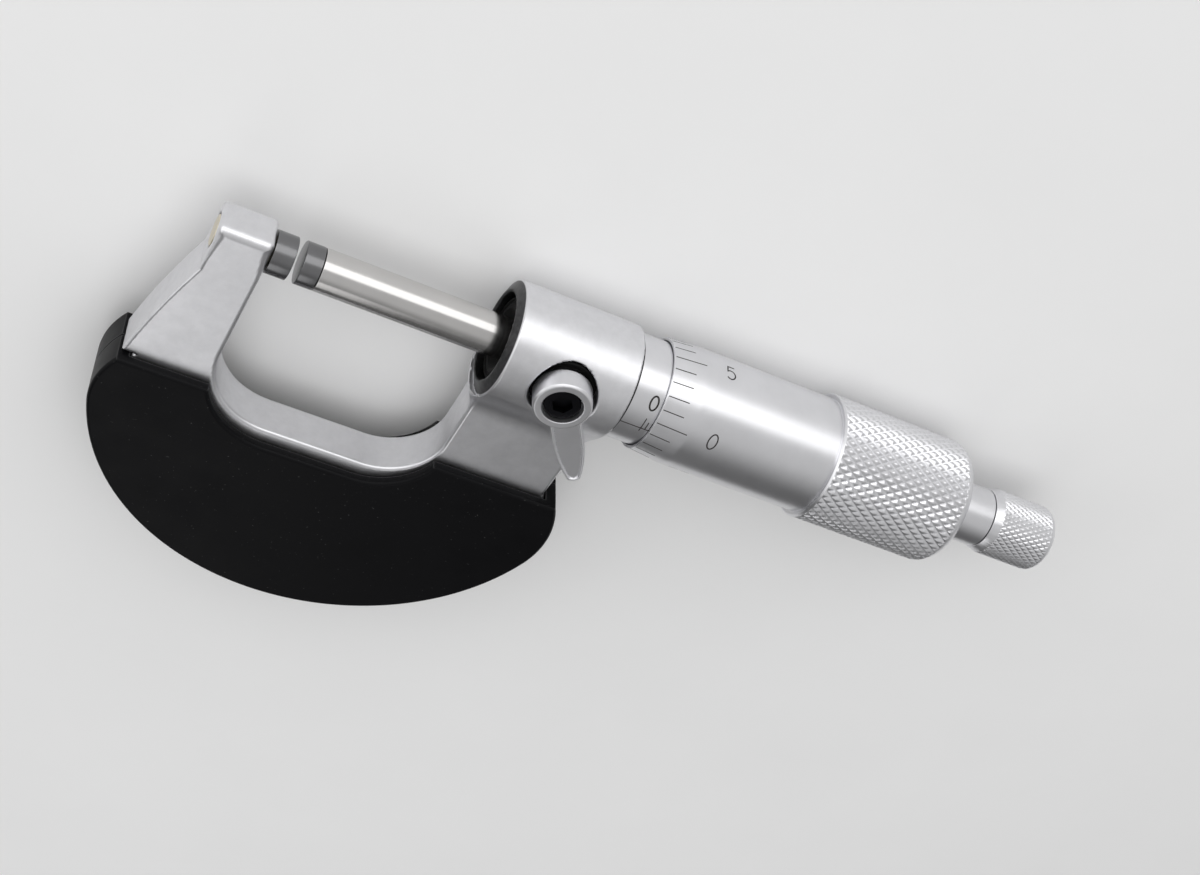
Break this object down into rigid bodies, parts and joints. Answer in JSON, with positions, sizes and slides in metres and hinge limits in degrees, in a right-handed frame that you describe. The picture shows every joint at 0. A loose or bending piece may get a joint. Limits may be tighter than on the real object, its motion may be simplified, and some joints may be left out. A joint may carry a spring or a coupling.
{
  "type": "outside micrometer",
  "caption": "Outside micrometer: a bowed frame with black covers, anvil, screw-fed spindle, graduated sleeve and thimble, lever lock and ratchet stop.",
  "frame": {"origin": "centre of the anvil's outer end, on the spindle's axis, 11.2 mm left of the anvil's measuring face", "axes": "+X along the spindle from the anvil to the ratchet stop; -Y towards the bow of the frame; +Z out of the front, on which the lock lever stands"},
  "size_m": [0.1451, 0.0714, 0.0208],
  "materials": {
    "satin_chrome": "satin",
    "ground_steel": "ground",
    "carbide": "lapped",
    "bronze": "turned",
    "black_plastic": "satin",
    "black_rubber": "matt",
    "black_oxide": "blackened"
  },
  "bodies": {
    "body": {"frame": "satin_chrome", "anvil": "ground_steel", "anvil_tip": "carbide", "front_cover": "black_plastic", "rear_cover": "black_plastic", "nose_seal": "black_rubber", "spindle_nut": "ground_steel", "adjusting_nut": "ground_steel", "graduated_sleeve": "satin_chrome", "lock_shoe": "bronze", "lock_seal": "black_rubber"},
    "carrier": {"clamp_washer": "ground_steel"},
    "spindle_unit": {"spindle": "ground_steel", "spindle_tip": "carbide", "thimble": "satin_chrome", "ratchet_body": "satin_chrome", "ratchet_screw": "ground_steel"},
    "ratchet": {"ratchet_knob": "satin_chrome", "ratchet_clutch": "bronze", "ratchet_spring": "ground_steel"},
    "lock": {"lock_lever": "satin_chrome", "lock_stud": "ground_steel", "lock_screw": "black_oxide"}
  },
  "joints": [
    {"name": "spindle_feed", "type": "slide", "parent": "body", "child": "carrier", "axis": [1, 0, 0], "range_m": [-0.00124, 0.02416]},
    {"name": "thimble_turn", "type": "hinge", "parent": "carrier", "child": "spindle_unit", "pos_m": [0.1, 0, 0], "axis": [1, 0, 0], "range_deg": [-705.8, 13694.7]},
    {"name": "ratchet_slip", "type": "hinge", "parent": "spindle_unit", "child": "ratchet", "pos_m": [0.13, 0, 0], "axis": [1, 0, 0], "continuous": true},
    {"name": "lock_turn", "type": "hinge", "parent": "body", "child": "lock", "pos_m": [0.05253, 0.0008, 0.0076], "axis": [0, 0, 1], "range_deg": [-65, 8]}
  ],
  "couplings": [
    {"joint": "thimble_turn", "follows": "spindle_feed", "rad_per_m": 9894.8}
  ]
}
